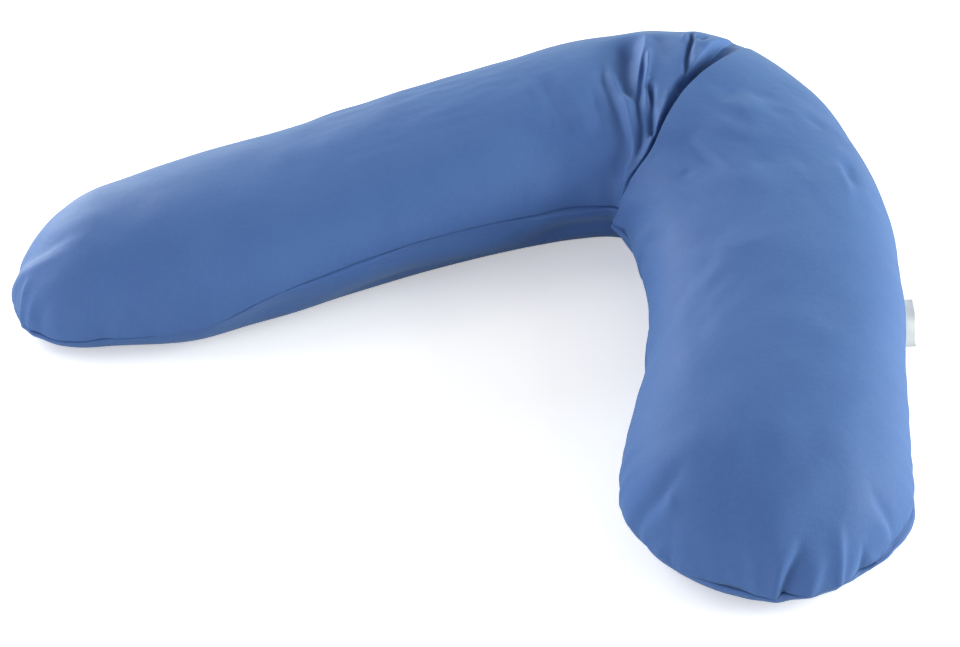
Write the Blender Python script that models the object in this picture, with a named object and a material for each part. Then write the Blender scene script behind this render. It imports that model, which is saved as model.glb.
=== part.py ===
"""A long body pillow, lying on a floor and bent in the middle into an open V.

Two equal cloth panels are sewn together round their edge and filled with loose beads, so the
pillow is one filled solid with its seam at half height. Where it bends, the right arm bulges
over the left one and the cloth is pressed into folds. A woven label is caught in the outer seam.

Metres, +Z up. The bend lies at the back, +Y, and the tip of the right arm points to the front.
The tables are measured from a point on the floor between the arms. At the end everything is
moved so that the origin lies on the floor under the middle of the pillow's box.
"""

from collections import namedtuple
from math import pi

import bmesh
import bpy
import numpy as np
from mathutils import Matrix

# A line across the pillow, from its inner seam to its outer one, as it lies in plan. The three
# heights are those of the two seams and of the crown between them, and the steps of the mesh
# lead to the next line. The first and last lines say how far the rounded ends reach.
Section = namedtuple(
    "Section", "name inner_x inner_y outer_x outer_y inner_z outer_z crown steps"
)
SECTIONS = [
    Section("left tip", -0.572, 0.018, -0.572, 0.266, 0.030, 0.044, 0.108, 7),
    Section("left end", -0.456, 0.030, -0.468, 0.286, 0.034, 0.056, 0.141, 5),
    Section("left wrist", -0.330, 0.030, -0.400, 0.318, 0.046, 0.066, 0.158, 6),
    Section("left middle", -0.179, 0.088, -0.268, 0.370, 0.088, 0.085, 0.170, 6),
    Section("left shoulder", -0.037, 0.158, -0.122, 0.445, 0.098, 0.090, 0.186, 8),
    Section("before bend", 0.090, 0.208, 0.010, 0.512, 0.096, 0.090, 0.196, 14),
    Section("bend", 0.164, 0.211, 0.160, 0.580, 0.098, 0.090, 0.206, 14),
    Section("crease", 0.161, 0.195, 0.352, 0.574, 0.094, 0.090, 0.211, 14),
    Section("after crease", 0.165, 0.176, 0.451, 0.457, 0.092, 0.090, 0.199, 9),
    Section("after bend", 0.178, 0.147, 0.491, 0.307, 0.090, 0.090, 0.191, 8),
    Section("right shoulder", 0.197, 0.006, 0.494, 0.030, 0.088, 0.088, 0.184, 6),
    Section("right middle", 0.185, -0.102, 0.477, -0.110, 0.080, 0.080, 0.177, 7),
    Section("right end", 0.144, -0.280, 0.461, -0.280, 0.046, 0.052, 0.160, 8),
    Section("right tip", 0.164, -0.409, 0.448, -0.414, 0.034, 0.036, 0.126, 0),
]
ACROSS = 24  # steps of the mesh from seam to seam, on each panel
PRESSED = 0.020  # the beads would sink this far below the floor, so the belly lies flat
CROWN_POWER = 1.0  # 1 is an ellipse, and more is flatter near the seam
BELLY_POWER = 1.3
SEAM_TUCK = 0.005  # how far the seam is drawn in between the two panels
SEAM_SHARE = 0.09  # how far that reaches, as a share of the panel's half width

# A fold of the upper panel, as it lies in plan: it runs from one point to another, bowed to its
# right, and each flank has its own width. A ridge has a negative depth.
Fold = namedtuple("Fold", "name from_x from_y to_x to_y bow left right depth")
FOLDS = [
    Fold("crease hollow", 0.150, 0.150, 0.318, 0.505, 0.006, 0.075, 0.014, 0.018),
    Fold("main crease", 0.158, 0.164, 0.340, 0.540, 0.008, 0.020, 0.010, 0.032),
    Fold("lip", 0.178, 0.190, 0.370, 0.540, 0.008, 0.014, 0.040, -0.006),
    Fold("left ridge", 0.172, 0.380, 0.174, 0.190, -0.018, 0.009, 0.016, -0.012),
    Fold("dark pocket", 0.184, 0.490, 0.190, 0.300, 0.000, 0.018, 0.014, 0.014),
    Fold("light ridge", 0.226, 0.530, 0.192, 0.320, 0.000, 0.010, 0.010, -0.008),
    Fold("side pleat", 0.216, 0.380, 0.190, 0.215, -0.006, 0.009, 0.008, 0.012),
    Fold("side ridge", 0.214, 0.440, 0.200, 0.250, 0.004, 0.008, 0.008, -0.006),
    Fold("narrow pleat", 0.236, 0.280, 0.280, 0.510, 0.006, 0.009, 0.008, 0.014),
    Fold("far wrinkle", 0.080, 0.380, 0.114, 0.225, 0.000, 0.016, 0.014, 0.005),
    Fold("near wrinkle", 0.138, 0.380, 0.158, 0.240, 0.000, 0.012, 0.012, 0.005),
    Fold("hollow by the bend", 0.070, 0.200, 0.160, 0.290, 0.000, 0.035, 0.035, 0.006),
    Fold("right tip", 0.298, -0.440, 0.318, -0.370, 0.000, 0.007, 0.009, 0.006),
    Fold("beside the right tip", 0.326, -0.440, 0.350, -0.370, 0.000, 0.008, 0.008, 0.005),
    Fold("right end, outer", 0.362, -0.430, 0.362, -0.350, 0.000, 0.008, 0.008, 0.005),
    Fold("right end, corner", 0.430, -0.410, 0.385, -0.350, 0.000, 0.010, 0.008, 0.006),
    Fold("right end, outer side", 0.460, -0.350, 0.400, -0.330, 0.000, 0.008, 0.008, 0.004),
    Fold("right end, inner side", 0.165, -0.370, 0.210, -0.290, 0.000, 0.010, 0.008, 0.004),
    Fold("left end, near", -0.545, 0.020, -0.480, 0.045, 0.000, 0.008, 0.008, 0.004),
    Fold("left tip", -0.580, 0.040, -0.510, 0.085, 0.000, 0.008, 0.008, 0.006),
    Fold("left end, far", -0.590, 0.125, -0.490, 0.125, 0.000, 0.010, 0.008, 0.004),
]
FOLD_TAPER = 0.25  # share of a fold's length over which it runs out at each end

LABEL_WIDTH = 0.017  # how far it stands out of the seam
LABEL_LENGTH = 0.088
LABEL_THICKNESS = 0.0012
LABEL_MIDDLE = -0.008  # where it is along Y
LABEL_CUTS = 11
LABEL_GAP = 0.0006  # between the label and the bottom of the seam

BLUE = (0.088, 0.168, 0.392)
WHITE = (0.78, 0.79, 0.80)


def smooth(xs, ys, at):
    """A smooth curve through the points (xs, ys), read at the values in at."""
    slope = np.gradient(ys, xs)
    k = np.clip(np.searchsorted(xs, at, side="right") - 1, 0, len(xs) - 2)
    gap = xs[k + 1] - xs[k]
    t = (at - xs[k]) / gap
    return (
        (1 + 2 * t) * (1 - t) ** 2 * ys[k]
        + t * (1 - t) ** 2 * gap * slope[k]
        + t * t * (3 - 2 * t) * ys[k + 1]
        + t * t * (t - 1) * gap * slope[k + 1]
    )


def column(name):
    return np.array([getattr(section, name) for section in SECTIONS], float)


def lengthwise():
    """Distance of each section from the left tip, along the middle of the pillow."""
    x = (column("inner_x") + column("outer_x")) / 2
    y = (column("inner_y") + column("outer_y")) / 2
    return np.concatenate([[0], np.cumsum(np.hypot(np.diff(x), np.diff(y)))])


def stations():
    along, places = lengthwise(), []
    for k, section in enumerate(SECTIONS[:-1]):
        step = (along[k + 1] - along[k]) / section.steps
        places += [along[k] + step * i for i in range(section.steps)]
    return np.array(places + [along[-1]])


def cloth_grid(places, across):
    """Where each point of a panel lies: along the pillow, across it, and up from the seam.

    A row crosses the pillow from the inner seam, 0, to the outer one, 1. Past the two end
    sections the rows close in like a square drawn into a disc, so that the last one lies along
    the seam of the rounded end. The third value is 0 at the seam and 1 along the crown.
    """
    first, last, tip = lengthwise()[[1, -2, -1]]
    before = np.minimum(places / first - 1, 0)
    after = np.maximum((places - last) / (tip - last), 0)
    into = np.sin((before + after) * pi / 2)[:, None]
    v = np.sin(np.linspace(-1, 1, across + 1) * pi / 2)[None, :]
    reach = into * np.sqrt(1 - v * v / 2)
    beyond = np.where(reach < 0, first, tip - last) * reach
    at = np.clip(places, first, last)[:, None] + beyond
    share = (v * np.sqrt(1 - into * into / 2) + 1) / 2
    rise = np.sqrt(np.clip((1 - into * into) * (1 - v * v), 0, 1))
    return at, share, rise


def smooth_panel(upper, at, share, rise):
    """The points of one panel without its folds, in rows from the left tip to the right one."""
    along = lengthwise()
    line = {name: smooth(along, column(name), at) for name in Section._fields[1:-1]}
    x = line["inner_x"] * (1 - share) + line["outer_x"] * share
    y = line["inner_y"] * (1 - share) + line["outer_y"] * share
    seam = line["inner_z"] * (1 - share) + line["outer_z"] * share
    if upper:
        z = seam + (line["crown"] - seam) * rise**CROWN_POWER
    else:
        z = np.maximum(0, seam - (seam + PRESSED) * rise**BELLY_POWER)
    return np.stack([x, y, z], -1)


def outward(points):
    """The unit normals of the upper panel's points, which point up and out."""
    normals = np.cross(np.gradient(points, axis=0), np.gradient(points, axis=1))
    for i, i_in in ((0, 1), (-1, -2)):
        for j, j_in in ((0, 1), (-1, -2)):
            normals[i, j] = normals[i, j_in] + normals[i_in, j]
    return normals / np.linalg.norm(normals, axis=-1, keepdims=True)


def fold_depth(fold, x, y):
    """How deep a fold presses the cloth in at each (x, y)."""
    run_x, run_y = fold.to_x - fold.from_x, fold.to_y - fold.from_y
    length = np.hypot(run_x, run_y)
    dx, dy = x - fold.from_x, y - fold.from_y
    s = (dx * run_x + dy * run_y) / length**2
    aside = (dx * run_y - dy * run_x) / length - fold.bow * (1 - (2 * s - 1) ** 2)
    width = np.where(aside < 0, fold.left, fold.right)
    ends = np.clip(np.minimum(s, 1 - s) / FOLD_TAPER, 0, 1)
    return fold.depth * np.exp(-((aside / width) ** 2)) * ends * ends * (3 - 2 * ends)


def upper_panel(grid):
    points = smooth_panel(True, *grid)
    depth = SEAM_TUCK * np.exp(-((grid[2] / SEAM_SHARE) ** 2))
    for fold in FOLDS:
        depth += fold_depth(fold, points[..., 0], points[..., 1])
    return points - outward(points) * depth[..., None]


def lower_panel(grid, upper):
    """The lower panel, which meets the upper one point for point along the seam."""
    points = smooth_panel(False, *grid)
    points[0], points[-1] = upper[0], upper[-1]
    points[:, 0], points[:, -1] = upper[:, 0], upper[:, -1]
    return points


def clear_scene():
    for obj in list(bpy.data.objects):
        bpy.data.objects.remove(obj)


def material(name, color, roughness, sheen):
    made = bpy.data.materials.new(name)
    made.use_nodes = True
    shader = made.node_tree.nodes["Principled BSDF"]
    shader.inputs["Base Color"].default_value = (*color, 1)
    shader.inputs["Roughness"].default_value = roughness
    shader.inputs["Metallic"].default_value = 0
    shader.inputs["Sheen Weight"].default_value = sheen
    return made


def add_object(name, bm, surface):
    bmesh.ops.recalc_face_normals(bm, faces=bm.faces)
    mesh = bpy.data.meshes.new(name)
    bm.to_mesh(mesh)
    bm.free()
    mesh.materials.append(surface)
    mesh.shade_smooth()
    obj = bpy.data.objects.new(name, mesh)
    bpy.context.scene.collection.objects.link(obj)
    return obj


def add_panel(bm, points):
    """A grid of faces with its corners at the points of one panel."""
    rows, columns = points.shape[:2]
    grid = bmesh.ops.create_grid(bm, x_segments=rows - 1, y_segments=columns - 1, size=1)
    for vert in grid["verts"]:
        i = round((vert.co.x + 1) / 2 * (rows - 1))
        j = round((vert.co.y + 1) / 2 * (columns - 1))
        vert.co = points[i, j]


def make_pillow(upper, lower):
    bm = bmesh.new()
    add_panel(bm, upper)
    add_panel(bm, lower)
    bmesh.ops.remove_doubles(bm, verts=bm.verts, dist=1e-5)
    belly = [face for face in bm.faces if all(vert.co.z < 1e-6 for vert in face.verts)]
    bmesh.ops.dissolve_faces(bm, faces=belly, use_verts=True)
    return add_object("pillow", bm, material("blue cotton jersey", BLUE, 0.75, 0.3))


def make_label(outer_seam):
    """A bare tab of woven tape that stands out of the outer seam of the right arm."""
    bm = bmesh.new()
    bmesh.ops.create_cube(bm, size=1)
    along = [e for e in bm.edges if abs(e.verts[0].co.y - e.verts[1].co.y) > 0.5]
    bmesh.ops.subdivide_edges(bm, edges=along, cuts=LABEL_CUTS, use_grid_fill=True)
    seam_x, seam_y, seam_z = outer_seam[outer_seam[:, 1].argsort()].T
    for vert in bm.verts:
        y = LABEL_MIDDLE + vert.co.y * LABEL_LENGTH
        out = LABEL_GAP + (vert.co.x + 0.5) * LABEL_WIDTH
        z = np.interp(y, seam_y, seam_z) + vert.co.z * LABEL_THICKNESS
        vert.co = (np.interp(y, seam_y, seam_x) + out, y, z)
    return add_object("label", bm, material("white woven tape", WHITE, 0.6, 0.0))


def stand_on_origin(objects):
    """Moves the objects so that the middle of their box lies over the origin."""
    points = np.array([vert.co for obj in objects for vert in obj.data.vertices])
    middle = (points.min(axis=0) + points.max(axis=0)) / 2
    for obj in objects:
        obj.data.transform(Matrix.Translation((-middle[0], -middle[1], 0)))


def main():
    clear_scene()
    grid = cloth_grid(stations(), ACROSS)
    upper = upper_panel(grid)
    right_arm = upper[len(upper) // 2 :]
    pillow = make_pillow(upper, lower_panel(grid, upper))
    label = make_label(right_arm[:, -1])
    stand_on_origin([pillow, label])


main()
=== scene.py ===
"""The looks of a long bead-filled body pillow, bent into an open V on a white floor.

The cover is two equal panels of blue cotton sewn together round their edge. It is modelled as
the two panels, each a grid of cloth laid over the filling, with the seam pulled in between them,
the deep crease where the right arm bulges over the left one, the folds that fan out from the
inner corner, and the puckers along the seam. The woven label is a folded tab of tape.

Metres, +Z up. The tables are measured from a point on the floor between the arms, and SHIFT
moves everything to the frame's origin.
"""

from collections import namedtuple
from math import cos, pi, radians, sin

import bmesh
import bpy
import numpy as np
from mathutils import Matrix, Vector, noise


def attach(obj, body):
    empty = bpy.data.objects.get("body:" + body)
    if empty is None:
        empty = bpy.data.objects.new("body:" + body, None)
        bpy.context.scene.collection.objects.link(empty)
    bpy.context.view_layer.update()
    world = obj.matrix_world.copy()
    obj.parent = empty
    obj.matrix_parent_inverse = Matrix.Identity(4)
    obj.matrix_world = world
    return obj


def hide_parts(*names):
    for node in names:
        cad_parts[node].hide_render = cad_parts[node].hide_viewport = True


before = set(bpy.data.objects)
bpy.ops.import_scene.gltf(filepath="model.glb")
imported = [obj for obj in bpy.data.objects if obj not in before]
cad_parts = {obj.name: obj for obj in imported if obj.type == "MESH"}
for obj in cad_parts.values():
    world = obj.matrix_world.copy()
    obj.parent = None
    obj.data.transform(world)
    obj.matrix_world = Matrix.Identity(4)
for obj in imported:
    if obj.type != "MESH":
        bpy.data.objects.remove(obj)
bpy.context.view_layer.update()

SHIFT = np.array((0.03109, -0.08900, 0.0))

# --- The filled shape -------------------------------------------------------------------------

# A line across the pillow, from its inner seam to its outer one, as it lies in plan. The three
# heights are those of the two seams and of the crown between them, and the steps of the mesh
# lead to the next line. The first and last lines say how far the rounded ends reach.
Section = namedtuple(
    "Section", "name inner_x inner_y outer_x outer_y inner_z outer_z crown steps"
)
SECTIONS = [
    Section("left tip", -0.572, 0.018, -0.572, 0.266, 0.019, 0.040, 0.108, 26),
    Section("left end", -0.456, 0.030, -0.468, 0.286, 0.030, 0.056, 0.141, 16),
    Section("left wrist", -0.330, 0.030, -0.400, 0.318, 0.046, 0.066, 0.158, 10),
    Section("left forearm", -0.250, 0.054, -0.336, 0.343, 0.076, 0.076, 0.165, 10),
    Section("left middle", -0.179, 0.088, -0.268, 0.370, 0.088, 0.085, 0.170, 22),
    Section("left shoulder", -0.037, 0.158, -0.122, 0.445, 0.098, 0.090, 0.186, 26),
    Section("before bend", 0.090, 0.208, 0.010, 0.512, 0.096, 0.090, 0.196, 60),
    Section("bend", 0.168, 0.213, 0.160, 0.580, 0.098, 0.090, 0.206, 96),
    Section("crease", 0.166, 0.195, 0.352, 0.574, 0.094, 0.090, 0.211, 44),
    Section("after crease", 0.167, 0.176, 0.451, 0.457, 0.092, 0.090, 0.199, 28),
    Section("after bend", 0.178, 0.147, 0.491, 0.307, 0.090, 0.090, 0.191, 28),
    Section("right shoulder", 0.197, 0.006, 0.4965, 0.030, 0.088, 0.088, 0.184, 20),
    Section("right middle", 0.185, -0.102, 0.4755, -0.110, 0.080, 0.080, 0.177, 32),
    Section("right end", 0.146, -0.280, 0.461, -0.280, 0.047, 0.052, 0.160, 38),
    Section("right tip", 0.168, -0.408, 0.442, -0.405, 0.029, 0.030, 0.126, 0),
]
ACROSS = 96  # steps of the mesh from seam to seam, on each panel
SEAM_LINES = (0.0008, 0.0018, 0.0032)  # rows of the mesh beside the seam, and how far from it
LIP_ROW = 0.920  # the row of the mesh that follows the lip of the crease, along the pillow
LIP_LINES = (-0.0016, -0.0007, 0.0, 0.0007, 0.0016)  # rows of the mesh beside the lip
LIP_REACH = 0.05  # how far from that row, along the pillow, its neighbours slide with it
LIP_BETWEEN = (0.80, 1.05)  # the stretch of the pillow that the lip lies in
LIP_SAMPLES = 300  # points along that stretch, and across it, that the lip is looked for among
PANEL_ARC = 0.14  # length of cloth that one unit across a panel stands for, near the seam
PRESSED = 0.020  # the beads would sink this far below the floor, so the belly lies flat
BELLY_POWER = 1.3  # the nearer to 1, the fuller the lower panel is below the seam
BELLY_EASE = 0.05  # below this height the folds of the lower panel run out


def smooth(xs, ys, at):
    """A smooth curve through the points (xs, ys), read at the values in at."""
    slope = np.gradient(ys, xs)
    k = np.clip(np.searchsorted(xs, at, side="right") - 1, 0, len(xs) - 2)
    gap = xs[k + 1] - xs[k]
    t = (at - xs[k]) / gap
    return (
        (1 + 2 * t) * (1 - t) ** 2 * ys[k]
        + t * (1 - t) ** 2 * gap * slope[k]
        + t * t * (3 - 2 * t) * ys[k + 1]
        + t * t * (t - 1) * gap * slope[k + 1]
    )


def ease(t):
    """From 0 to 1 with a soft start and end."""
    t = np.clip(t, 0, 1)
    return t * t * (3 - 2 * t)


def column(name):
    """One column of the table of sections."""
    return np.array([getattr(section, name) for section in SECTIONS], float)


def lengthwise():
    """Distance of each section from the left tip, along the middle of the pillow."""
    x = (column("inner_x") + column("outer_x")) / 2
    y = (column("inner_y") + column("outer_y")) / 2
    return np.concatenate([[0], np.cumsum(np.hypot(np.diff(x), np.diff(y)))])


def stations():
    """Where the rows of the mesh lie along the pillow, from the left tip to the right one."""
    along, places = lengthwise(), []
    for k, section in enumerate(SECTIONS[:-1]):
        step = (along[k + 1] - along[k]) / section.steps
        places += [along[k] + step * i for i in range(section.steps)]
    near = np.array(SEAM_LINES)
    lip = LIP_ROW + np.array(LIP_LINES)
    return np.sort(np.concatenate([places, [along[-1]], near, along[-1] - near, lip]))


def across_lines():
    """Where the points of a row lie across it, from -1 at the inner seam to 1 at the outer one."""
    even = np.linspace(-1, 1, ACROSS + 1)
    near = 1 - np.array(SEAM_LINES) / PANEL_ARC
    return np.sort(np.concatenate([even, near, -near]))


def cloth_grid(places, lines):
    """Where each point of a panel lies: along the pillow, across it, and up from the seam.

    A row crosses the pillow from the inner seam, 0, to the outer one, 1. Past the two end
    sections the rows close in like a square drawn into a disc, so that the last one lies along
    the seam of the rounded end. The third value is 0 at the seam and 1 along the crown.
    """
    first, last, tip = lengthwise()[[1, -2, -1]]
    before = np.minimum(places / first - 1, 0)
    after = np.maximum((places - last) / (tip - last), 0)
    into = np.sin((before + after) * pi / 2)[:, None]
    v = np.sin(lines * pi / 2)[None, :]
    reach = into * np.sqrt(1 - v * v / 2)
    beyond = np.where(reach < 0, first, tip - last) * reach
    at = np.clip(places, first, last)[:, None] + beyond
    share = (v * np.sqrt(1 - into * into / 2) + 1) / 2
    at = slide_to_lip(at, share)
    rise = np.sqrt(np.clip((1 - into * into) * (1 - v * v), 0, 1))
    return at, share, rise


def lip_of_crease():
    """Where the lip of the crease lies on the panel: shares across it, and places along it."""
    path = np.array([(row.x, row.y) for row in CREASE])
    run = np.gradient(path, axis=0)
    run = run / np.linalg.norm(run, axis=1, keepdims=True)
    lip = path + np.stack([run[:, 1], -run[:, 0]], 1) * np.array([[row.wall] for row in CREASE])
    at = np.linspace(*LIP_BETWEEN, LIP_SAMPLES)
    at, share = np.meshgrid(at, np.linspace(0, 1, LIP_SAMPLES), indexing="ij")
    flat = smooth_panel(True, at, share, np.zeros_like(at))
    away = np.hypot(flat[..., 0, None] - lip[:, 0], flat[..., 1, None] - lip[:, 1])
    near = away.reshape(-1, len(lip)).argmin(axis=0)
    return share.ravel()[near], at.ravel()[near]


def slide_to_lip(at, share):
    """Slide the rows near the crease along the cloth, so that one of them follows its lip.

    The panel itself stays as it is. Only its mesh moves, which keeps the lip a clean line.
    """
    lip_share, lip_at = lip_of_crease()
    slide = np.interp(share, lip_share, lip_at) - LIP_ROW
    return at + slide * np.exp(-(((at - LIP_ROW) / LIP_REACH) ** 2))


def smooth_panel(upper, at, share, rise):
    """The points of one panel without its folds, in rows from the left tip to the right one."""
    along = lengthwise()
    line = {name: smooth(along, column(name), at) for name in Section._fields[1:-1]}
    x = line["inner_x"] * (1 - share) + line["outer_x"] * share
    y = line["inner_y"] * (1 - share) + line["outer_y"] * share
    seam = line["inner_z"] * (1 - share) + line["outer_z"] * share
    if upper:
        z = seam + (line["crown"] - seam) * rise
    else:
        z = np.maximum(0, seam - (seam + PRESSED) * rise**BELLY_POWER)
    return np.stack([x, y, z], -1)


def outward(points):
    """The unit normals of a panel's points, which point up for a row that runs outwards."""
    normals = np.cross(np.gradient(points, axis=0), np.gradient(points, axis=1))
    for i, i_in in ((0, 1), (-1, -2)):
        for j, j_in in ((0, 1), (-1, -2)):
            normals[i, j] = normals[i, j_in] + normals[i_in, j]
    return normals / np.linalg.norm(normals, axis=-1, keepdims=True)


def nearest_seam(points):
    """How far each point is from the seam, over the cloth, and the point of the seam there."""
    across = np.linalg.norm(np.diff(points, axis=1), axis=-1)
    across = np.pad(np.cumsum(across, axis=1), ((0, 0), (1, 0)))
    along = np.linalg.norm(np.diff(points, axis=0), axis=-1)
    along = np.pad(np.cumsum(along, axis=0), ((1, 0), (0, 0)))
    apart = np.stack([across, across[:, -1:] - across, along, along[-1:] - along])
    seams = [points[:, :1], points[:, -1:], points[:1], points[-1:]]
    seams = np.stack([np.broadcast_to(seam, points.shape) for seam in seams])
    nearest = apart.argmin(axis=0)[None]
    place = np.take_along_axis(seams, nearest[..., None], axis=0)[0]
    return np.take_along_axis(apart, nearest, axis=0)[0], place


# --- Folds ------------------------------------------------------------------------------------

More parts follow.
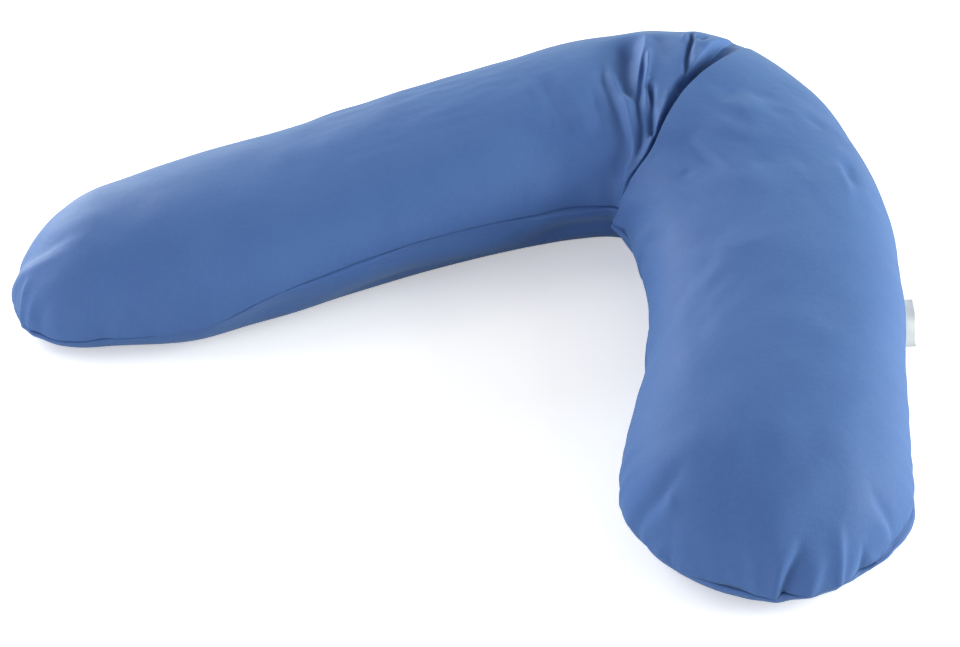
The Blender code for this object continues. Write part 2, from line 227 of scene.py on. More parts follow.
# A fold runs through a few points in plan. Each flank has its own width, the radius rounds its
# crest or its bottom, and it fades in and out over a share of its length. A ridge has a
# negative depth.
Fold = namedtuple("Fold", "name path left right radius depth fade_in fade_out")
FOLDS = [
    Fold("crease hollow", ((0.150, 0.150), (0.225, 0.330), (0.318, 0.505)),
         0.070, 0.014, 0.010, 0.010, 0.3, 0.4),
    # the fan of folds on the left arm, from left to right
    Fold("valley left of the ridge", ((0.165, 0.480), (0.162, 0.433), (0.160, 0.376),
                                      (0.167, 0.340), (0.176, 0.300), (0.181, 0.255),
                                      (0.170, 0.208)),
         0.024, 0.010, 0.005, 0.012, 0.35, 0.15),
    Fold("left ridge", ((0.162, 0.440), (0.166, 0.385), (0.174, 0.350), (0.182, 0.320),
                        (0.186, 0.290), (0.186, 0.255), (0.180, 0.228), (0.170, 0.200)),
         0.010, 0.008, 0.001, -0.013, 0.35, 0.15),
    Fold("dark pocket", ((0.197, 0.501), (0.194, 0.460), (0.192, 0.407), (0.190, 0.350),
                         (0.190, 0.318)), 0.015, 0.013, 0.008, 0.020, 0.3, 0.25),
    Fold("pocket wall", ((0.222, 0.520), (0.219, 0.478), (0.215, 0.450), (0.208, 0.422),
                         (0.203, 0.395), (0.196, 0.350), (0.192, 0.318)),
         0.007, 0.008, 0.001, -0.010, 0.3, 0.4),
    Fold("between the ridges", ((0.213, 0.440), (0.210, 0.405), (0.205, 0.370), (0.199, 0.335),
                                (0.196, 0.305), (0.196, 0.280), (0.192, 0.250), (0.182, 0.225)),
         0.004, 0.005, 0.001, 0.009, 0.2, 0.2),
    Fold("second ridge", ((0.221, 0.450), (0.217, 0.415), (0.213, 0.385), (0.208, 0.358),
                          (0.209, 0.337), (0.212, 0.310), (0.210, 0.270)),
         0.004, 0.005, 0.0008, -0.009, 0.2, 0.3),
    Fold("thin crease", ((0.214, 0.375), (0.215, 0.345), (0.214, 0.322), (0.213, 0.297),
                         (0.213, 0.255)),
         0.003, 0.005, 0.0010, 0.013, 0.25, 0.12),
    Fold("face stripe", ((0.236, 0.500), (0.238, 0.460), (0.240, 0.430), (0.242, 0.395)),
         0.008, 0.012, 0.003, 0.004, 0.3, 0.4),
    Fold("narrow pleat", ((0.284, 0.520), (0.277, 0.470), (0.271, 0.437), (0.264, 0.402),
                          (0.258, 0.376), (0.252, 0.350)),
         0.005, 0.003, 0.0006, 0.012, 0.15, 0.12),
    Fold("pleat edge", ((0.292, 0.520), (0.284, 0.470), (0.278, 0.435), (0.271, 0.400),
                        (0.262, 0.372)),
         0.004, 0.010, 0.001, -0.005, 0.2, 0.3),
    Fold("light streak", ((0.276, 0.500), (0.269, 0.478), (0.265, 0.458)),
         0.006, 0.004, 0.001, -0.004, 0.3, 0.4),
    Fold("cross ridge", ((0.280, 0.445), (0.291, 0.457), (0.301, 0.472), (0.312, 0.492)),
         0.006, 0.006, 0.001, -0.004, 0.3, 0.3),
    Fold("cross valley", ((0.284, 0.468), (0.294, 0.480), (0.303, 0.492)),
         0.005, 0.005, 0.001, 0.004, 0.3, 0.3),
    Fold("far wrinkle", ((0.078, 0.390), (0.086, 0.343), (0.098, 0.300), (0.112, 0.245)),
         0.014, 0.010, 0.003, 0.005, 0.4, 0.4),
    Fold("near wrinkle", ((0.136, 0.385), (0.142, 0.340), (0.149, 0.309), (0.156, 0.260)),
         0.010, 0.010, 0.002, 0.006, 0.4, 0.4),
    Fold("hollow by the bend", ((0.070, 0.200), (0.118, 0.252), (0.160, 0.290)),
         0.035, 0.035, 0.020, 0.005, 0.4, 0.4),
    Fold("swell over the back", ((0.228, 0.600), (0.222, 0.530), (0.217, 0.470)),
         0.030, 0.030, 0.012, -0.0045, 0.3, 0.5),
    Fold("swell by the crease", ((0.302, 0.600), (0.292, 0.530), (0.285, 0.480)),
         0.016, 0.016, 0.006, -0.003, 0.3, 0.4),
    # the soft drags and dents on the right arm
    Fold("drag from the lip", ((0.240, 0.262), (0.257, 0.236), (0.275, 0.202), (0.294, 0.174),
                               (0.316, 0.144)), 0.010, 0.014, 0.003, 0.0045, 0.2, 0.4),
    Fold("ridge beside the drag", ((0.255, 0.253), (0.287, 0.203), (0.307, 0.154), (0.340, 0.128)),
         0.010, 0.012, 0.003, -0.0030, 0.3, 0.3),
    Fold("line from the lip", ((0.237, 0.267), (0.271, 0.251), (0.310, 0.227), (0.345, 0.215)),
         0.007, 0.008, 0.002, 0.0016, 0.3, 0.3),
    Fold("hooked dent", ((0.301, 0.301), (0.313, 0.329), (0.329, 0.345)),
         0.010, 0.009, 0.003, 0.0026, 0.3, 0.4),
    Fold("swell by the hooked dent", ((0.315, 0.284), (0.336, 0.290), (0.355, 0.292)),
         0.012, 0.010, 0.004, -0.0020, 0.4, 0.4),
    Fold("first back dent", ((0.341, 0.325), (0.357, 0.331), (0.375, 0.343)),
         0.010, 0.012, 0.005, 0.0020, 0.4, 0.4),
    Fold("second back dent", ((0.355, 0.285), (0.373, 0.296), (0.394, 0.310)),
         0.010, 0.012, 0.005, 0.0024, 0.4, 0.4),
    Fold("third back dent", ((0.401, 0.311), (0.419, 0.300), (0.437, 0.285)),
         0.014, 0.010, 0.004, 0.0022, 0.4, 0.4),
    Fold("upper dimple", ((0.322, 0.185), (0.340, 0.189), (0.357, 0.196)),
         0.010, 0.012, 0.005, 0.0030, 0.4, 0.4),
    Fold("small hook", ((0.242, 0.190), (0.250, 0.183), (0.257, 0.175)),
         0.005, 0.006, 0.002, 0.0020, 0.4, 0.4),
    Fold("outer ridge", ((0.434, 0.225), (0.438, 0.172), (0.442, 0.122)),
         0.006, 0.005, 0.001, -0.0022, 0.3, 0.3),
    Fold("outer dent", ((0.452, 0.245), (0.449, 0.200), (0.450, 0.154)),
         0.006, 0.010, 0.002, 0.0036, 0.4, 0.4),
    Fold("fold below the corner", ((0.150, 0.190), (0.170, 0.165), (0.188, 0.145), (0.205, 0.126),
                                   (0.224, 0.107)), 0.010, 0.014, 0.002, 0.007, 0.2, 0.5),
    Fold("second fold below the corner", ((0.190, 0.110), (0.208, 0.100), (0.228, 0.090)),
         0.012, 0.014, 0.004, 0.003, 0.3, 0.5),
    Fold("long soft ridge", ((0.244, 0.035), (0.287, 0.012), (0.345, 0.040)),
         0.020, 0.010, 0.003, -0.0022, 0.4, 0.4),
    # the right arm's end, from the inner side to the outer one
    Fold("inner side, upper", ((0.150, -0.331), (0.165, -0.328), (0.182, -0.326), (0.200, -0.316),
                               (0.212, -0.298)), 0.007, 0.009, 0.001, 0.005, 0.0, 0.5),
    Fold("inner side, spot", ((0.194, -0.322), (0.196, -0.334), (0.197, -0.350)),
         0.004, 0.006, 0.001, -0.003, 0.4, 0.4),
    Fold("inner side, lower", ((0.180, -0.395), (0.192, -0.368), (0.204, -0.345)),
         0.007, 0.005, 0.001, 0.004, 0.0, 0.6),
    Fold("slack seam", ((0.254, -0.430), (0.258, -0.404), (0.264, -0.382)),
         0.022, 0.020, 0.006, 0.006, 0.0, 0.6),
    Fold("right tip ridge", ((0.296, -0.430), (0.300, -0.409), (0.305, -0.402), (0.313, -0.394),
                             (0.322, -0.380)), 0.011, 0.003, 0.0008, -0.0065, 0.0, 0.5),
    Fold("right tip valley", ((0.301, -0.430), (0.306, -0.410), (0.312, -0.403), (0.320, -0.395),
                              (0.330, -0.380)), 0.004, 0.008, 0.001, 0.008, 0.0, 0.5),
    Fold("beside the right tip", ((0.322, -0.425), (0.328, -0.409), (0.334, -0.404),
                                  (0.343, -0.397), (0.352, -0.385)),
         0.006, 0.005, 0.001, -0.0055, 0.0, 0.5),
    Fold("right end, light edge", ((0.365, -0.410), (0.367, -0.393), (0.367, -0.380),
                                   (0.365, -0.362)), 0.008, 0.003, 0.0008, -0.0045, 0.0, 0.5),
    Fold("right end, dark dent", ((0.386, -0.410), (0.392, -0.390), (0.395, -0.378),
                                  (0.388, -0.362)), 0.004, 0.008, 0.001, 0.0060, 0.0, 0.5),
    Fold("right corner", ((0.440, -0.405), (0.420, -0.380), (0.405, -0.360)),
         0.010, 0.006, 0.001, 0.004, 0.0, 0.5),
    Fold("outer side, lower", ((0.458, -0.367), (0.434, -0.352), (0.418, -0.350)),
         0.004, 0.007, 0.001, 0.0030, 0.0, 0.5),
    Fold("outer side, upper", ((0.470, -0.330), (0.446, -0.335), (0.428, -0.342), (0.409, -0.337),
                               (0.392, -0.320)), 0.004, 0.009, 0.001, 0.0045, 0.0, 0.5),
    # the left arm's end, from the near side to the far one
    Fold("near seam, first", ((-0.334, 0.012), (-0.333, 0.034), (-0.328, 0.052)),
         0.006, 0.005, 0.001, 0.004, 0.0, 0.6),
    Fold("near seam, second", ((-0.392, 0.010), (-0.388, 0.030), (-0.380, 0.046)),
         0.006, 0.005, 0.001, 0.003, 0.0, 0.6),
    Fold("near seam, third", ((-0.454, 0.010), (-0.446, 0.030), (-0.436, 0.046)),
         0.008, 0.006, 0.001, 0.004, 0.0, 0.6),
    Fold("left end, near", ((-0.570, 0.034), (-0.541, 0.048), (-0.520, 0.052), (-0.490, 0.054)),
         0.006, 0.008, 0.001, 0.004, 0.0, 0.6),
    Fold("left end, short ridge", ((-0.560, 0.052), (-0.537, 0.062), (-0.522, 0.064)),
         0.005, 0.004, 0.001, -0.003, 0.0, 0.6),
    Fold("left end, hairline", ((-0.562, 0.060), (-0.551, 0.076), (-0.546, 0.088), (-0.538, 0.100)),
         0.003, 0.006, 0.0008, -0.004, 0.0, 0.4),
    Fold("left tip ridge", ((-0.590, 0.122), (-0.560, 0.114), (-0.537, 0.102), (-0.518, 0.096),
                            (-0.480, 0.098)), 0.008, 0.014, 0.001, -0.004, 0.2, 0.6),
    Fold("left end, far", ((-0.600, 0.160), (-0.565, 0.147), (-0.538, 0.122), (-0.512, 0.115),
                           (-0.468, 0.120)), 0.020, 0.007, 0.002, 0.004, 0.4, 0.5),
]
FOLD_POWER = 1.2  # nearer to 1, a fold's crest is sharper and its flanks reach further
PATH_STEPS = 40

# The main crease, from the inner corner to the back. Its left side and its wall, on the right,
# have their own widths. Over is how far the left edge hangs over the crease, and lean how far
# the lip of the right arm does.
Crease = namedtuple("Crease", "x y depth left wall over lean")
CREASE = [
    Crease(0.154, 0.192, 0.002, 0.003, 0.004, 0.000, 0.000),
    Crease(0.173, 0.203, 0.012, 0.003, 0.005, 0.000, 0.002),
    Crease(0.191, 0.217, 0.022, 0.004, 0.005, 0.000, 0.004),
    Crease(0.211, 0.241, 0.025, 0.006, 0.005, 0.000, 0.005),
    Crease(0.240, 0.298, 0.030, 0.012, 0.006, 0.000, 0.007),
    Crease(0.264, 0.352, 0.032, 0.020, 0.010, 0.000, 0.005),
    Crease(0.282, 0.410, 0.034, 0.007, 0.025, 0.005, 0.000),
    Crease(0.303, 0.458, 0.028, 0.006, 0.032, 0.006, 0.000),
    Crease(0.328, 0.505, 0.010, 0.005, 0.030, 0.003, 0.000),
]
CREASE_POWER = 1.4  # the crease has a sharp edge on each side and a rounded bottom
CREASE_RUN_IN, CREASE_RUN_OUT = 0.10, 0.12  # it fades out past its ends, in shares of its length
HANG_REACH = 0.9  # how wide its hanging edges are, as a share of its left side or its wall

# At the inner corner the seam stands out in a small ear.
EAR = np.array((0.166, 0.192))
EAR_REACH = 0.012
EAR_DEPTH = 0.010  # how far it reaches in from the seam
EAR_PULL = np.array((-0.008, -0.002, 0.0))

SEAM_TUCK = 0.0010  # how far the seam is drawn in between the two panels
SEAM_REACH = 0.012  # how far from the seam that reaches
STITCH_TUCK = 0.0040  # the narrow groove along the stitches, which is shallower at the ends
STITCH_REACH = 0.0015
STITCH_ENDS = 0.8  # the share of its depth that the groove has there

# Where each rounded end begins, along X or Y, and how far on it is that it counts in full.
LEFT_END_X, LEFT_END_REACH = -0.40, 0.12
RIGHT_END_Y, RIGHT_END_REACH = -0.16, 0.14


def beside(path, x, y):
    """How far along a path in plan each (x, y) lies, as a share of it, and how far to its right."""
    path = np.array(path, float)
    at = np.concatenate([[0], np.cumsum(np.hypot(*np.diff(path, axis=0).T))])
    steps = np.linspace(0, at[-1], PATH_STEPS + 1)
    path_x, path_y = smooth(at, path[:, 0], steps), smooth(at, path[:, 1], steps)
    run_x, run_y = np.gradient(path_x), np.gradient(path_y)
    run = np.hypot(run_x, run_y)
    near = np.argmin(
        (x[..., None] - path_x) ** 2 + (y[..., None] - path_y) ** 2, axis=-1
    )
    run_x, run_y = (run_x / run)[near], (run_y / run)[near]
    dx, dy = x - path_x[near], y - path_y[near]
    return (steps[near] + dx * run_x + dy * run_y) / at[-1], dx * run_y - dy * run_x


def fold_depth(fold, x, y):
    """How deep one fold presses each (x, y) in."""
    share, aside = beside(fold.path, x, y)
    width = np.where(aside < 0, fold.left, fold.right)
    flank = (np.hypot(aside, fold.radius) - fold.radius) / width
    fades = 1.0
    if fold.fade_in:
        fades = fades * ease(share / fold.fade_in)
    if fold.fade_out:
        fades = fades * ease((1 - share) / fold.fade_out)
    return fold.depth * np.exp(-(flank**FOLD_POWER)) * fades


def crease_push(x, y):
    """How deep the main crease presses each (x, y) in, and how far its lip leans, in x and y."""
    share, aside = beside([(c.x, c.y) for c in CREASE], x, y)
    path = np.array([(c.x, c.y) for c in CREASE])
    at = np.concatenate([[0], np.cumsum(np.hypot(*np.diff(path, axis=0).T))])
    at = at / at[-1]
    here = np.clip(share, 0, 1)
    depth, left, wall, over, lean = (
        smooth(at, np.array([getattr(c, name) for c in CREASE]), here)
        for name in Crease._fields[2:]
    )
    inside = ease((share + CREASE_RUN_IN) / CREASE_RUN_IN)
    inside *= ease((1 + CREASE_RUN_OUT - share) / CREASE_RUN_OUT)
    flank = np.clip(np.where(aside < 0, -aside / left, aside / wall), 0, 1)
    profile = 1 - flank**CREASE_POWER
    hang = lean * np.exp(-(((aside - wall) / (wall * HANG_REACH)) ** 2))
    hang -= over * np.exp(-(((aside + left) / (left * HANG_REACH)) ** 2))
    hang = hang * inside
    run = path[-1] - path[0]
    run = run / np.hypot(*run)
    return depth * profile * inside, -hang * run[1], hang * run[0]


def panel_depth(x, y):
    """How deep all the folds but the main crease press each (x, y) in."""
    depth = np.zeros_like(x)
    for fold in FOLDS:
        depth += fold_depth(fold, x, y)
    return depth


# Where the cloth is slack it lies in soft wrinkles. Each patch has its middle and reach in plan,
# and its wrinkles a direction in degrees, a spacing, a stretch along that direction and a height.
Slack = namedtuple("Slack", "name x y reach degrees spacing stretch height")
SLACK = [
    Slack("right shoulder", 0.300, 0.270, 0.090, -50, 0.024, 2.0, 0.0026),
    Slack("right shoulder, wide", 0.320, 0.220, 0.200, -30, 0.060, 1.5, 0.0050),
    Slack("right arm, outer side", 0.440, 0.180, 0.080, -80, 0.020, 2.5, 0.0022),
    Slack("right arm, inner side", 0.220, -0.060, 0.090, 60, 0.016, 2.5, 0.0014),
    Slack("right arm", 0.330, -0.120, 0.250, 40, 0.028, 1.4, 0.0014),
    Slack("right arm, wide", 0.320, -0.150, 0.250, 40, 0.080, 1.5, 0.0050),
    Slack("right end", 0.310, -0.330, 0.120, 70, 0.034, 1.6, 0.0028),
    Slack("inner corner", 0.190, 0.140, 0.075, -45, 0.014, 3.5, 0.0034),
    Slack("left of the bend", 0.110, 0.330, 0.055, -78, 0.014, 3.0, 0.0026),
    Slack("hollow left of the bend", 0.120, 0.270, 0.050, 40, 0.030, 1.5, 0.0060),
    Slack("far side of the left arm", -0.080, 0.400, 0.180, 24, 0.011, 3.5, 0.0011),
    Slack("left arm", -0.200, 0.250, 0.300, 60, 0.040, 1.4, 0.0016),
    Slack("left end", -0.480, 0.110, 0.120, -20, 0.024, 2.0, 0.0022),
]
# The seam gathers the cloth beside it a little.
GATHER_LENGTH = 0.016  # along the seam, from one ripple to the next
GATHER_REACH = 0.016  # how far in from the seam they run out
GATHER_HEIGHT = 0.0060
GATHER_AT_SEAM = 0.3  # share of that height that a ripple has at the seam itself
GATHER_LEAST = 0.15  # share of that height along the arms, away from the two ends
# The lower panel hangs in long drags along the seam.
DRAG_LENGTH = 0.130
DRAG_WIDTH = 0.045
DRAG_HEIGHT = 0.0110


def uneven(*places):
    """Smooth noise between about -0.5 and 0.5, over three coordinates."""
    places = np.stack(np.broadcast_arrays(*places), -1)
    values = [noise.noise(Vector(place)) for place in places.reshape(-1, 3)]
    return np.array(values).reshape(places.shape[:-1])


def wrinkles(x, y):
    """How deep the soft wrinkles of the slack cloth are at each (x, y)."""
    total = np.zeros_like(x)
    for k, patch in enumerate(SLACK):
        inside = np.exp(-((x - patch.x) ** 2 + (y - patch.y) ** 2) / patch.reach**2)
        run_x, run_y = cos(radians(patch.degrees)), sin(radians(patch.degrees))
        along = (x * run_x + y * run_y) / (patch.spacing * patch.stretch)
        across = (y * run_x - x * run_y) / patch.spacing
        layer = k + 0.5  # each patch has its own layer of the noise, which is 0 at whole numbers
        total += patch.height * inside * uneven(along, across, layer)
    return total


def at_ends(points):
    """1 at the two rounded ends of the pillow, and 0 along the arms."""
    left = (LEFT_END_X - points[..., 0]) / LEFT_END_REACH
    right = (RIGHT_END_Y - points[..., 1]) / RIGHT_END_REACH
    return np.maximum(ease(left), ease(right))


def gathers(points):
    """Ripples square to the seam, which run out a little way from it."""
    apart, beside_seam = nearest_seam(points)
    ripple = uneven(*np.moveaxis(beside_seam / GATHER_LENGTH, -1, 0))
    reach = apart / GATHER_REACH
    height = GATHER_HEIGHT * (GATHER_LEAST + (1 - GATHER_LEAST) * at_ends(points))
    return height * ripple * (GATHER_AT_SEAM + reach) * np.exp(-reach)


def seam_tuck(points):
    """How far each point is drawn in beside the seam."""
    apart, _ = nearest_seam(points)
    groove = STITCH_TUCK * (1 - (1 - STITCH_ENDS) * at_ends(points))
    groove = groove * np.exp(-((apart / STITCH_REACH) ** 2))
    return groove + SEAM_TUCK * np.exp(-((apart / SEAM_REACH) ** 2))


def ear(points):
    """How far the seam's ear at the inner corner pulls each point."""
    apart, _ = nearest_seam(points)
    away = np.hypot(points[..., 0] - EAR[0], points[..., 1] - EAR[1])
    share = np.exp(-((apart / EAR_DEPTH) ** 2) - (away / EAR_REACH) ** 2)
    return share[..., None] * EAR_PULL


def upper_panel(grid):
    """The upper panel, with its folds, its wrinkles and the main crease."""
    points = smooth_panel(True, *grid)
    pull = ear(points)
    x, y = points[..., 0], points[..., 1]
    depth = seam_tuck(points) + panel_depth(x, y)
    depth += wrinkles(x, y) + gathers(points)
    push, lean_x, lean_y = crease_push(x, y)
    points = points - outward(points) * (depth + push)[..., None]
    points[..., 0] += lean_x
    points[..., 1] += lean_y
    return points + pull


def lower_panel(grid, upper):
    """The lower panel, which meets the upper one point for point along the seam."""
    points = smooth_panel(False, *grid)
    x, y, z = np.moveaxis(points, -1, 0)
    push, lean_x, lean_y = crease_push(x, y)
    drags = DRAG_HEIGHT * uneven(x / DRAG_LENGTH, y / DRAG_LENGTH, z / DRAG_WIDTH)
    folds = panel_depth(x, y) + push + gathers(points) + drags
    depth = seam_tuck(points) + ease(z / BELLY_EASE) * folds
    points = points + outward(points) * depth[..., None] + ear(points)
    points[0], points[-1] = upper[0], upper[-1]
    points[:, 0], points[:, -1] = upper[:, 0], upper[:, -1]
    return points


# --- Making pieces ----------------------------------------------------------------------------

SEWN_WITHIN = 1e-5  # points of the two panels that are this close are one point of the seam


def add_panel(bm, points):
    """A grid of cloth with its corners at the points, and its UVs in metres over the cloth."""
    rows, columns = points.shape[:2]
    grid = bmesh.ops.create_grid(bm, x_segments=rows - 1, y_segments=columns - 1, size=1)
    middle = points[:, columns // 2]
    along = np.pad(np.cumsum(np.linalg.norm(np.diff(middle, axis=0), axis=-1)), (1, 0))
    across = np.linalg.norm(np.diff(points, axis=1), axis=-1)
    across = np.pad(np.cumsum(across, axis=1), ((0, 0), (1, 0)))
    uv_layer = bm.loops.layers.uv.verify()
    place = {}
    for vert in grid["verts"]:
        i = round((vert.co.x + 1) / 2 * (rows - 1))
        j = round((vert.co.y + 1) / 2 * (columns - 1))
        vert.co = points[i, j]
        place[vert] = (along[i], across[i, j] - across[i, -1] / 2)
    faces = {face for vert in grid["verts"] for face in vert.link_faces}
    for face in faces:
        for loop in face.loops:
            loop[uv_layer].uv = place[loop.vert]


def add_object(name, bm, surface):
    """Close the bmesh and put it in the scene, as an object of one material."""
    bmesh.ops.recalc_face_normals(bm, faces=bm.faces)
    mesh = bpy.data.meshes.new(name)
    bm.to_mesh(mesh)
    bm.free()
    mesh.materials.append(surface)
    mesh.shade_smooth()
    obj = bpy.data.objects.new(name, mesh)
    bpy.context.scene.collection.objects.link(obj)
    return obj


def make_cover(surface):
    """The cover, whose two panels meet point for point along the seam, and the upper panel."""
    grid = cloth_grid(stations(), across_lines())
    upper = upper_panel(grid)
    lower = lower_panel(grid, upper)
    bm = bmesh.new()
    add_panel(bm, upper + SHIFT)
    add_panel(bm, lower + SHIFT)
    bmesh.ops.remove_doubles(bm, verts=bm.verts, dist=SEWN_WITHIN)
    return add_object("cover", bm, surface), upper


LABEL_WIDTH = 0.0160  # how far it stands out of the seam
LABEL_LENGTH = 0.086
LABEL_STEPS = (24, 64)  # of the mesh, over the tape's full width and along it
LABEL_FOLD = 0.0004  # radius of the fold at its outer edge
LABEL_TURN = 6  # a sixth of the tape's width goes round that fold
LABEL_BLUNT = 1.5  # how bluntly the tape turns back there
LABEL_THICKNESS = 0.0003
LABEL_MIDDLE = -0.008  # where it is along Y
LABEL_GAP = 0.0006  # between the label and the bottom of the seam
LABEL_RISE = 0.0008  # how far its outer edge stands above the seam
LABEL_CURL = 0.0012  # how far that edge waves up and down
LABEL_WAVES = ((70, 1.0), (190, 0.4))  # radians per metre of each wave, and its share


def make_label(outer_seam, surface):
    """A strip of tape folded in half along its length, with both edges caught in the seam."""
    bm = bmesh.new()
    bmesh.ops.create_grid(bm, x_segments=LABEL_STEPS[0], y_segments=LABEL_STEPS[1], size=0.5)
    seam_x, seam_y, seam_z = outer_seam[outer_seam[:, 1].argsort()].T
    uv_layer = bm.loops.layers.uv.verify()
    for face in bm.faces:
        for loop in face.loops:
            place = loop.vert.co
            loop[uv_layer].uv = (place.x * LABEL_WIDTH * 2, place.y * LABEL_LENGTH)
    for vert in bm.verts:
        y = LABEL_MIDDLE + vert.co.y * LABEL_LENGTH
        # once round the fold: out along the lower half, and back along the upper one
        out = LABEL_WIDTH * (1 - abs(vert.co.x) ** LABEL_BLUNT * 2**LABEL_BLUNT)
        side = LABEL_FOLD * sin(pi * max(-0.5, min(0.5, vert.co.x * LABEL_TURN)))
        wave = LABEL_CURL * sum(share * sin(y * pace) for pace, share in LABEL_WAVES)
        wave = (wave + LABEL_RISE) * (out / LABEL_WIDTH) ** 2
        place = (
            np.interp(y, seam_y, seam_x) + LABEL_GAP + out,
            y,
            np.interp(y, seam_y, seam_z) + side + wave,
        )
        vert.co = Vector(place) + Vector(SHIFT)
    bmesh.ops.solidify(bm, geom=bm.faces, thickness=LABEL_THICKNESS)
    return add_object("woven_label", bm, surface)


# --- Materials --------------------------------------------------------------------------------


def linear(hex_colour):
    """An sRGB hex colour as the linear values that Blender works in."""
    values = [int(hex_colour[i : i + 2], 16) / 255 for i in (1, 3, 5)]
    return (*(v / 12.92 if v <= 0.04045 else ((v + 0.055) / 1.055) ** 2.4 for v in values), 1)


def add_node(tree, kind, settings, links):
    """Add a node, set its properties and inputs by name or number, and link its inputs."""
    made = tree.nodes.new("ShaderNode" + kind)
    for name, value in settings.items():
        if isinstance(name, str) and hasattr(made, name):
            setattr(made, name, value)
        else:
            made.inputs[name].default_value = value
    for name, socket in links.items():
        tree.links.new(socket, made.inputs[name])
    return made


def new_material(name, settings):
    """A material whose shader has these values: the material, its node tree and the shader."""
    made = bpy.data.materials.new(name)
    made.use_nodes = True
    shader = made.node_tree.nodes["Principled BSDF"]
    for socket, value in settings.items():
        shader.inputs[socket].default_value = value
    return made, made.node_tree, shader


def threads(tree, spacing, share):
    """The height of a plain weave over the UV map: two sets of threads that cross."""
    cloth = add_node(tree, "TexCoord", {}, {})
    ways = [
        add_node(
            tree, "TexWave",
            {"bands_direction": way, "Scale": pi / 10 / spacing, "Distortion": 0.6,
             "Detail": 1.0, "Detail Scale": 0.5},
            {"Vector": cloth.outputs["UV"]},
        )
        for way in ("X", "Y")
    ]
    return add_node(
        tree, "Mix", {"data_type": "FLOAT", "Factor": share},
        {"A": ways[0].outputs["Fac"], "B": ways[1].outputs["Fac"]},
    )


# The threads of the cotton are 0.25 mm apart and those of the tape 0.3 mm, finer than the
# render can show, so they are drawn at 1.4 mm and 0.9 mm.
COTTON_THREADS = 0.0014
TAPE_THREADS = 0.0009


def cotton():
    """Fine cotton, woven, piece-dyed blue and washed: matt, with a slight bloom at the rim."""
    made, tree, shader = new_material(
        "washed cotton, dyed blue",
        {"Sheen Weight": 0.10, "Sheen Roughness": 0.45, "Sheen Tint": linear("#DAFFF7"),
         "Specular IOR Level": 0.2},
    )
    place = add_node(tree, "TexCoord", {}, {}).outputs["Object"]
    # the dye took a little unevenly, in clouds about a hand wide and in specks of 4 mm
    clouds = add_node(tree, "TexNoise", {"Scale": 9.0, "Detail": 3.0}, {"Vector": place})
    specks = add_node(tree, "TexNoise", {"Scale": 250.0, "Detail": 2.0}, {"Vector": place})
    dye = add_node(
        tree, "Mix", {"data_type": "FLOAT", "Factor": 0.35},
        {"A": clouds.outputs["Fac"], "B": specks.outputs["Fac"]},
    )
    colour = add_node(tree, "ValToRGB", {}, {"Fac": dye.outputs["Result"]})
    for stop, (at, shade) in zip(colour.color_ramp.elements, ((0.3, "#40609A"), (0.7, "#4869A0"))):
        stop.position, stop.color = at, linear(shade)
    rough = add_node(
        tree, "MapRange", {"From Min": 0.3, "From Max": 0.7, "To Min": 0.56, "To Max": 0.70},
        {"Value": clouds.outputs["Fac"]},
    )
    # the weave, over the small crumples that washing leaves, 12 mm apart
    crumples = add_node(tree, "TexNoise", {"Scale": 80.0, "Detail": 2.0}, {"Vector": place})
    crumpled = add_node(
        tree, "Bump", {"Strength": 0.5, "Distance": 0.0010}, {"Height": crumples.outputs["Fac"]}
    )
    woven = add_node(
        tree, "Bump", {"Strength": 0.5, "Distance": 0.0002},
        {"Height": threads(tree, COTTON_THREADS, 0.5).outputs["Result"],
         "Normal": crumpled.outputs["Normal"]},
    )
    tree.links.new(colour.outputs["Color"], shader.inputs["Base Color"])
    tree.links.new(rough.outputs["Result"], shader.inputs["Roughness"])
    tree.links.new(woven.outputs["Normal"], shader.inputs["Normal"])
    return made


def tape():
    """Woven polyester satin tape, undyed: creamy white, with a soft gloss across the threads."""
    made, tree, shader = new_material(
        "woven satin tape, undyed", {"Roughness": 0.45, "Specular IOR Level": 0.4}
    )
    height = threads(tree, TAPE_THREADS, 0.3).outputs["Result"]
    colour = add_node(tree, "ValToRGB", {}, {"Fac": height})
    for stop, shade in zip(colour.color_ramp.elements, ("#EDEEE8", "#FBFCF6")):
        stop.color = linear(shade)
    woven = add_node(tree, "Bump", {"Strength": 0.6, "Distance": 0.0002}, {"Height": height})
    tree.links.new(colour.outputs["Color"], shader.inputs["Base Color"])
    tree.links.new(woven.outputs["Normal"], shader.inputs["Normal"])
    return made


# --- Stage ------------------------------------------------------------------------------------

CAMERA_TARGET = Vector((0.03109, -0.08900, 0.080))
CAMERA_DISTANCE = 2.40
CAMERA_ELEVATION = radians(36)
CAMERA_LENS = 77.4
CAMERA_CLIP = (0.05, 60)
SENSOR = 36.0


def point_at(obj, target):
    obj.rotation_euler = (target - obj.location).to_track_quat("-Z", "Y").to_euler()


def make_camera():
    data = bpy.data.cameras.new("camera")
    data.lens = CAMERA_LENS
    data.sensor_width = SENSOR
    data.clip_start, data.clip_end = CAMERA_CLIP
    camera = bpy.data.objects.new("camera", data)
    back = Vector((0, -cos(CAMERA_ELEVATION), sin(CAMERA_ELEVATION)))
    camera.location = CAMERA_TARGET + back * CAMERA_DISTANCE
    point_at(camera, CAMERA_TARGET)
    bpy.context.scene.collection.objects.link(camera)
    bpy.context.scene.camera = camera


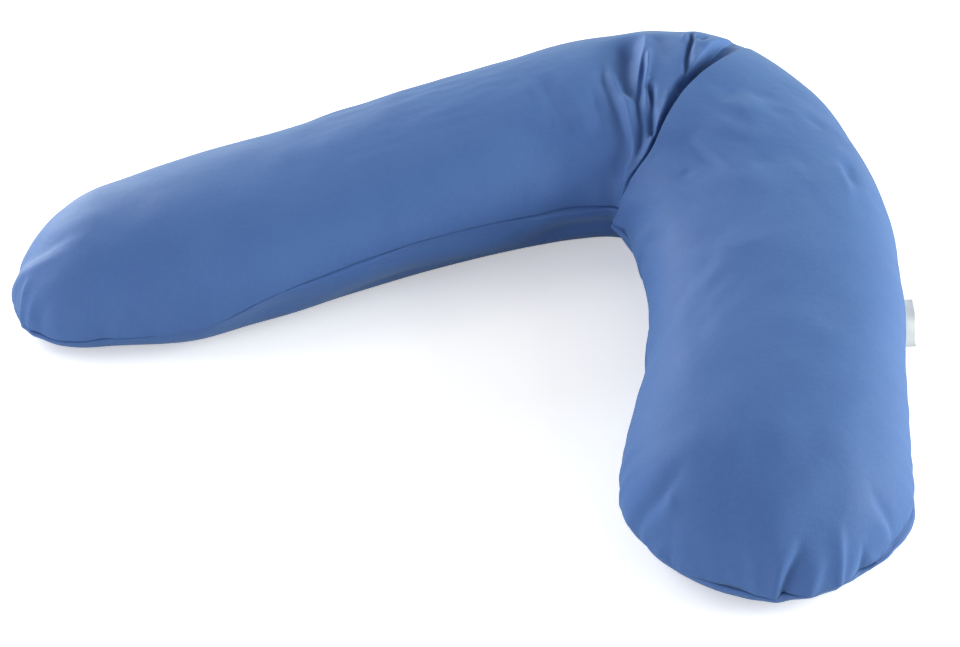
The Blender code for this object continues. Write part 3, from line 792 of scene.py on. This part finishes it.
# Low soft boxes on a ring round the pillow light its sides, and the white room the rest.
Light = namedtuple("Light", "name azimuth elevation power colour")
LIGHTS = [
    Light("right softbox", 0, 10, 365, "#FCFFF6"),
    Light("right softbox, high", 0, 28, 72, "#FCFFF6"),
    Light("back left softbox", 132, 10, 360, "#F8FFFF"),
    Light("left softbox", 180, 10, 30, "#FFFFFF"),
    Light("left softbox, high", 180, 42, 50, "#FFFFFF"),
    Light("front left softbox", 225, 10, 118, "#FFFFFF"),
    Light("front right softbox", 340, 10, 30, "#FFFFFF"),
]
LIGHT_SIZE = 3.3
LIGHT_DISTANCE = 5.0
LIGHT_TARGET = Vector((0, 0, 0.1))
WORLD_STRENGTH = 0.405
FLOOR_SIZE = 15
FLOOR_DROP = 0.0004  # below the belly, so that no two faces share a place
FLOOR_GLOW = 0.41  # lifts the floor towards the photo's clean white, but lights nothing


def make_floor():
    bm = bmesh.new()
    bmesh.ops.create_grid(bm, x_segments=1, y_segments=1, size=FLOOR_SIZE)
    made, tree, shader = new_material(
        "matt white floor",
        {"Base Color": linear("#F4F4F4"), "Roughness": 0.9, "Emission Color": (1, 1, 1, 1)},
    )
    seen = add_node(tree, "LightPath", {}, {})
    glow = add_node(
        tree, "Math", {"operation": "MULTIPLY", 1: FLOOR_GLOW}, {0: seen.outputs["Is Camera Ray"]}
    )
    tree.links.new(glow.outputs["Value"], shader.inputs["Emission Strength"])
    floor = add_object("floor", bm, made)
    floor.location.z = -FLOOR_DROP


def make_lights():
    world = bpy.data.worlds.new("white studio")
    world.use_nodes = True
    world.node_tree.nodes["Background"].inputs["Color"].default_value = (1, 1, 1, 1)
    world.node_tree.nodes["Background"].inputs["Strength"].default_value = WORLD_STRENGTH
    bpy.context.scene.world = world
    for light in LIGHTS:
        data = bpy.data.lights.new(light.name, "AREA")
        data.shape = "SQUARE"
        data.size = LIGHT_SIZE
        data.energy = light.power
        data.color = linear(light.colour)[:3]
        lamp = bpy.data.objects.new(light.name, data)
        around, up = radians(light.azimuth), radians(light.elevation)
        aim = Vector((cos(around) * cos(up), sin(around) * cos(up), sin(up)))
        lamp.location = LIGHT_TARGET + aim * LIGHT_DISTANCE
        point_at(lamp, LIGHT_TARGET)
        bpy.context.scene.collection.objects.link(lamp)
    bpy.context.scene.view_settings.view_transform = "Standard"


def main():
    make_camera()
    make_floor()
    make_lights()
    cover, upper = make_cover(cotton())
    right_arm = upper[len(upper) // 2 :]  # the label is in its outer seam
    label = make_label(right_arm[:, -1], tape())
    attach(cover, "root")
    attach(label, "root")
    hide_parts("pillow")
    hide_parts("label")


main()
